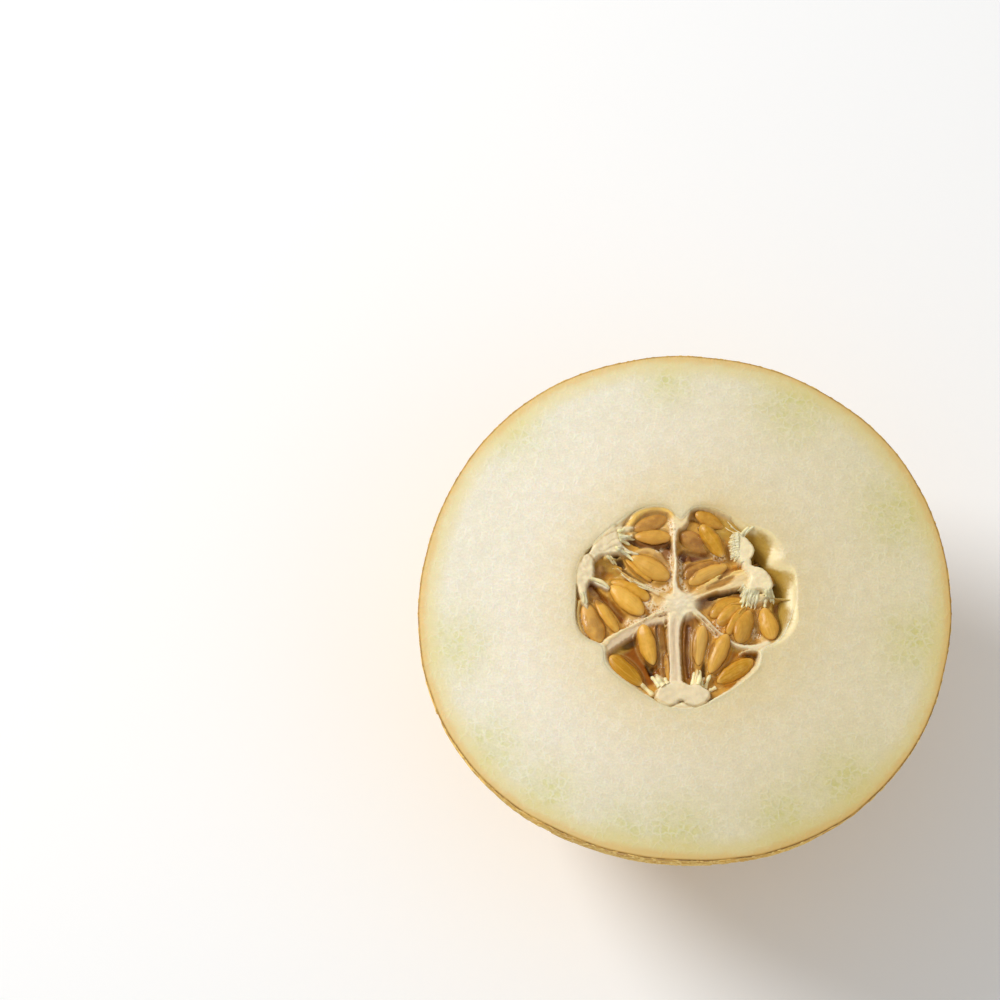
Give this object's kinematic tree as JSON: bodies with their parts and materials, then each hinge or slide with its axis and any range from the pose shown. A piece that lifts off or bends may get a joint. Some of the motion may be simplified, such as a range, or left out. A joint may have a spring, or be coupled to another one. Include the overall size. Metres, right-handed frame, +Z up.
{
  "type": "galia melon half",
  "caption": "Half of a round netted melon resting on its rind, cut face up, with pale flesh, a thin golden rind and a wet core of seeds between white septa.",
  "frame": {"origin": "under the middle of the fruit, on the surface it rests on", "axes": "+Z up out of the cut face, +X towards the picture's right and +Y towards its top"},
  "size_m": [0.1363, 0.1338, 0.0731],
  "materials": {
    "flesh": "moist cream flesh, faintly green near the rind, with fine pale fibres",
    "seed_core": "wet white septa and placentas over tan, mauve-tinged pulp",
    "rind": "satin golden-orange skin",
    "netting": "dry raised corky net, tan",
    "seed": "wet amber seeds",
    "jelly": "wet translucent jelly, mauve-brown"
  },
  "bodies": {
    "root": {"flesh_and_rind": "flesh", "seed_core": "seed_core"}
  },
  "joints": []
}
